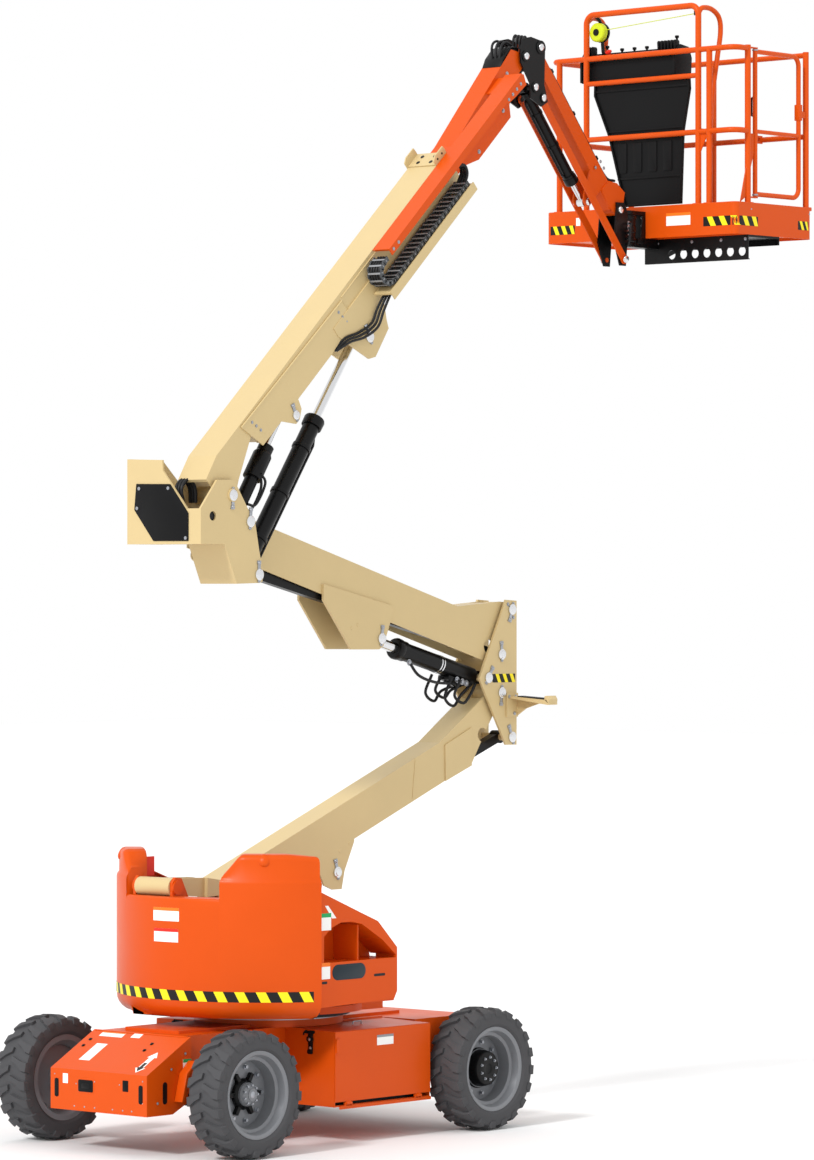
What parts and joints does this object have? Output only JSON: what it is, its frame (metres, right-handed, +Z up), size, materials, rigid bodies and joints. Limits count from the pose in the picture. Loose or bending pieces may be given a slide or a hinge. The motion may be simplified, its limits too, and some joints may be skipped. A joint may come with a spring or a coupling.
{
  "type": "articulating boom lift",
  "caption": "Self-propelled articulating boom lift on four wheels, with a folding tower, a telescoping main boom, a jib and a railed work platform.",
  "frame": {"origin": "middle of the machine on the ground, under the centre of its overall length and width", "axes": "+X towards the platform end (the drive axle), +Y towards the left side, +Z up"},
  "size_m": [5.425, 1.75, 6.7689],
  "materials": {
    "orange_paint": "gloss",
    "cream_paint": "satin",
    "black_paint": "satin",
    "black_plastic": "matte",
    "chrome_rod": "polished",
    "zinc": "satin",
    "tyre_rubber": "matte",
    "rim_grey": "satin",
    "grey_plastic": "matte"
  },
  "bodies": {
    "chassis": {"chassis_frame": "orange_paint", "front_cover": "orange_paint", "steer_axle": "black_paint", "drive_axle": "black_paint", "slew_ring": "zinc", "battery_box_right": "orange_paint", "battery_box_left": "orange_paint", "battery_pack_right": "black_plastic", "battery_pack_left": "black_plastic"},
    "battery_door_right": {"battery_door_right": "orange_paint"},
    "battery_door_left": {"battery_door_left": "orange_paint"},
    "knuckle_right": {"knuckle_right": "black_paint"},
    "knuckle_left": {"knuckle_left": "black_paint"},
    "tie_rod": {"tie_rod": "black_paint"},
    "steer_wheel_right": {"steer_tyre_right": "tyre_rubber", "steer_rim_right": "rim_grey"},
    "steer_wheel_left": {"steer_tyre_left": "tyre_rubber", "steer_rim_left": "rim_grey"},
    "drive_wheel_right": {"drive_tyre_right": "tyre_rubber", "drive_rim_right": "rim_grey"},
    "drive_wheel_left": {"drive_tyre_left": "tyre_rubber", "drive_rim_left": "rim_grey"},
    "turntable": {"turntable_frame": "orange_paint", "counterweight": "orange_paint", "cowl_right": "orange_paint", "cowl_left": "orange_paint"},
    "lower_boom": {"lower_boom": "cream_paint"},
    "lower_link": {"lower_link": "black_paint"},
    "upright_1": {"upright_1": "cream_paint"},
    "mid_boom": {"mid_boom": "cream_paint"},
    "mid_link": {"mid_link": "black_paint"},
    "upright_2": {"upright_2": "cream_paint", "tail_cover": "black_paint"},
    "main_boom": {"main_boom": "cream_paint", "cable_chain": "grey_plastic"},
    "fly_boom": {"fly_boom": "orange_paint", "fly_cap": "black_paint", "fly_rail": "orange_paint"},
    "jib_knuckle": {"jib_knuckle": "black_paint"},
    "jib_arm": {"jib_arm": "orange_paint"},
    "jib_links": {"jib_link_near": "orange_paint", "jib_link_far": "orange_paint"},
    "platform_pivot": {"platform_pivot": "black_paint"},
    "platform": {"platform_support": "black_paint", "platform_deck": "orange_paint", "platform_rails": "orange_paint", "console": "black_plastic"},
    "gate": {"gate": "orange_paint"},
    "lower_barrel": {"lower_cylinder_barrel": "black_paint"},
    "lower_rod": {"lower_cylinder_rod": "chrome_rod"},
    "tower_barrel": {"tower_cylinder_barrel": "black_paint"},
    "tower_rod": {"tower_cylinder_rod": "chrome_rod"},
    "lift_barrel": {"lift_cylinder_barrel": "black_paint"},
    "lift_rod": {"lift_cylinder_rod": "chrome_rod"},
    "level_barrel": {"level_cylinder_barrel": "black_paint"},
    "level_rod": {"level_cylinder_rod": "chrome_rod"},
    "jib_barrel": {"jib_cylinder_barrel": "black_paint"},
    "jib_rod": {"jib_cylinder_rod": "chrome_rod"}
  },
  "joints": [
    {"name": "battery_door_right_hinge", "type": "hinge", "parent": "chassis", "child": "battery_door_right", "pos_m": [-1.123, -0.706, 0.232], "axis": [1, 0, 0], "range_deg": [0, 90]},
    {"name": "battery_door_left_hinge", "type": "hinge", "parent": "chassis", "child": "battery_door_left", "pos_m": [-1.123, 0.706, 0.232], "axis": [-1, 0, 0], "range_deg": [0, 90]},
    {"name": "steer_left", "type": "hinge", "parent": "chassis", "child": "knuckle_left", "pos_m": [-2.3275, 0.575, 0.355], "axis": [0, 0, 1], "range_deg": [-36, 36]},
    {"name": "steer_right", "type": "hinge", "parent": "chassis", "child": "knuckle_right", "pos_m": [-2.3275, -0.575, 0.355], "axis": [0, 0, 1], "range_deg": [-36.5, 36.5]},
    {"name": "tie_rod_pivot", "type": "hinge", "parent": "knuckle_left", "child": "tie_rod", "pos_m": [-2.1575, 0.575, 0.282], "axis": [0, 0, 1], "range_deg": [-36.5, 36.5]},
    {"name": "steer_wheel_right_spin", "type": "hinge", "parent": "knuckle_right", "child": "steer_wheel_right", "pos_m": [-2.3275, -0.755, 0.355], "axis": [0, 1, 0], "continuous": true},
    {"name": "drive_wheel_right_spin", "type": "hinge", "parent": "chassis", "child": "drive_wheel_right", "pos_m": [-0.3275, -0.755, 0.355], "axis": [0, 1, 0], "continuous": true},
    {"name": "steer_wheel_left_spin", "type": "hinge", "parent": "knuckle_left", "child": "steer_wheel_left", "pos_m": [-2.3275, 0.755, 0.355], "axis": [0, 1, 0], "continuous": true},
    {"name": "drive_wheel_left_spin", "type": "hinge", "parent": "chassis", "child": "drive_wheel_left", "pos_m": [-0.3275, 0.755, 0.355], "axis": [0, 1, 0], "continuous": true},
    {"name": "slew", "type": "hinge", "parent": "chassis", "child": "turntable", "pos_m": [-1.3275, 0, 0.702], "axis": [0, 0, 1], "range_deg": [-177.5, 177.5]},
    {"name": "tower_lift", "type": "hinge", "parent": "turntable", "child": "lower_boom", "pos_m": [-2.0875, 0.17, 1.454], "axis": [0, -1, 0], "range_deg": [-19, 46]},
    {"name": "lower_link_pivot", "type": "hinge", "parent": "turntable", "child": "lower_link", "pos_m": [-1.9915, 0.17, 1.181], "axis": [0, -1, 0], "range_deg": [-19.5, 46.5]},
    {"name": "upright_1_pivot", "type": "hinge", "parent": "lower_boom", "child": "upright_1", "pos_m": [0.8015, 0.17, 2.508], "axis": [0, -1, 0], "range_deg": [-46.5, 19.5]},
    {"name": "mid_boom_pivot", "type": "hinge", "parent": "upright_1", "child": "mid_boom", "pos_m": [0.8975, 0.17, 3.014], "axis": [0, -1, 0], "range_deg": [-46.5, 19.5]},
    {"name": "mid_link_pivot", "type": "hinge", "parent": "upright_1", "child": "mid_link", "pos_m": [0.8015, 0.17, 2.741], "axis": [0, -1, 0], "range_deg": [-46.5, 19.5]},
    {"name": "upright_2_pivot", "type": "hinge", "parent": "mid_boom", "child": "upright_2", "pos_m": [-1.6775, 0.17, 3.607], "axis": [0, -1, 0], "range_deg": [-19.5, 46.5]},
    {"name": "lower_barrel_pivot", "type": "hinge", "parent": "turntable", "child": "lower_barrel", "pos_m": [-1.9275, 0.17, 0.83], "axis": [0, -1, 0], "range_deg": [-16.32, 38.8]},
    {"name": "lower_rod_slide", "type": "slide", "parent": "lower_barrel", "child": "lower_rod", "axis": [0.8929, 0, 0.4503], "range_m": [-0.1971, 0.47436]},
    {"name": "tower_barrel_pivot", "type": "hinge", "parent": "upright_1", "child": "tower_barrel", "pos_m": [0.6775, 0.17, 2.6], "axis": [0, -1, 0], "range_deg": [-46.58, 19.53]},
    {"name": "tower_rod_slide", "type": "slide", "parent": "tower_barrel", "child": "tower_rod", "axis": [-0.9685, 0, 0.249], "range_m": [-0.1514, 0.36371]},
    {"name": "main_lift", "type": "hinge", "parent": "upright_2", "child": "main_boom", "pos_m": [-1.8985, -0.115, 3.673], "axis": [0, -1, 0], "range_deg": [-48, 32]},
    {"name": "lift_barrel_pivot", "type": "hinge", "parent": "upright_2", "child": "lift_barrel", "pos_m": [-1.6835, -0.115, 3.224], "axis": [0, -1, 0], "range_deg": [-42.26, 28.34]},
    {"name": "lift_rod_slide", "type": "slide", "parent": "lift_barrel", "child": "lift_rod", "axis": [0.5703, 0, 0.8214], "range_m": [-0.46165, 0.30844]},
    {"name": "level_barrel_pivot", "type": "hinge", "parent": "upright_2", "child": "level_barrel", "pos_m": [-1.7555, -0.115, 3.525], "axis": [0, -1, 0], "range_deg": [-47.62, 31.91]},
    {"name": "level_rod_slide", "type": "slide", "parent": "level_barrel", "child": "level_rod", "axis": [0.5506, 0, 0.8348], "range_m": [-0.1522, 0.10213]},
    {"name": "fly_extend", "type": "slide", "parent": "main_boom", "child": "fly_boom", "axis": [0.7321, 0, 0.6812], "range_m": [0, 1.8]},
    {"name": "jib_level", "type": "hinge", "parent": "fly_boom", "child": "jib_knuckle", "pos_m": [0.7225, -0.115, 6.361], "axis": [0, -1, 0], "range_deg": [-32.5, 48.5]},
    {"name": "jib_lift", "type": "hinge", "parent": "jib_knuckle", "child": "jib_arm", "pos_m": [0.8625, -0.115, 6.425], "axis": [0, -1, 0], "range_deg": [-12, 119]},
    {"name": "jib_link_pivot", "type": "hinge", "parent": "jib_knuckle", "child": "jib_links", "pos_m": [0.8875, -0.115, 6.12], "axis": [0, -1, 0], "range_deg": [-12.5, 119.5]},
    {"name": "platform_level", "type": "hinge", "parent": "jib_arm", "child": "platform_pivot", "pos_m": [1.6625, -0.115, 5.485], "axis": [0, -1, 0], "range_deg": [-119.5, 12.5]},
    {"name": "jib_barrel_pivot", "type": "hinge", "parent": "jib_knuckle", "child": "jib_barrel", "pos_m": [0.8135, -0.115, 6.18], "axis": [0, -1, 0], "range_deg": [-11.8, 112.51]},
    {"name": "jib_rod_slide", "type": "slide", "parent": "jib_barrel", "child": "jib_rod", "axis": [0.6463, 0, -0.7631], "range_m": [-0.04347, 0.41323]},
    {"name": "platform_rotate", "type": "hinge", "parent": "platform_pivot", "child": "platform", "pos_m": [1.7975, -0.115, 5.375], "axis": [0, 0, 1], "range_deg": [-90, 90]},
    {"name": "gate_hinge", "type": "hinge", "parent": "platform", "child": "gate", "pos_m": [2.1645, -0.846, 5.965], "axis": [0, 0, 1], "range_deg": [0, 60]}
  ],
  "couplings": [
    {"joint": "steer_right", "follows": "steer_left", "ratio": 1},
    {"joint": "tie_rod_pivot", "follows": "steer_left", "ratio": -1},
    {"joint": "lower_link_pivot", "follows": "tower_lift", "ratio": 1},
    {"joint": "upright_1_pivot", "follows": "tower_lift", "ratio": -1},
    {"joint": "mid_boom_pivot", "follows": "tower_lift", "ratio": -1},
    {"joint": "mid_link_pivot", "follows": "tower_lift", "ratio": -1},
    {"joint": "upright_2_pivot", "follows": "tower_lift", "ratio": 1},
    {"joint": "lower_barrel_pivot", "follows": "tower_lift", "ratio": 0.8325},
    {"joint": "lower_rod_slide", "follows": "tower_lift", "m_per_rad": 0.58835},
    {"joint": "tower_barrel_pivot", "follows": "tower_lift", "ratio": -1.0018},
    {"joint": "tower_rod_slide", "follows": "tower_lift", "m_per_rad": 0.45053},
    {"joint": "lift_barrel_pivot", "follows": "main_lift", "ratio": 0.8699},
    {"joint": "lift_rod_slide", "follows": "main_lift", "m_per_rad": 0.54867},
    {"joint": "level_barrel_pivot", "follows": "main_lift", "ratio": 0.9817},
    {"joint": "level_rod_slide", "follows": "main_lift", "m_per_rad": 0.17929},
    {"joint": "jib_level", "follows": "main_lift", "ratio": -1},
    {"joint": "jib_link_pivot", "follows": "jib_lift", "ratio": 1},
    {"joint": "platform_level", "follows": "jib_lift", "ratio": -1},
    {"joint": "jib_barrel_pivot", "follows": "jib_lift", "ratio": 0.9413},
    {"joint": "jib_rod_slide", "follows": "jib_lift", "m_per_rad": 0.198}
  ]
}
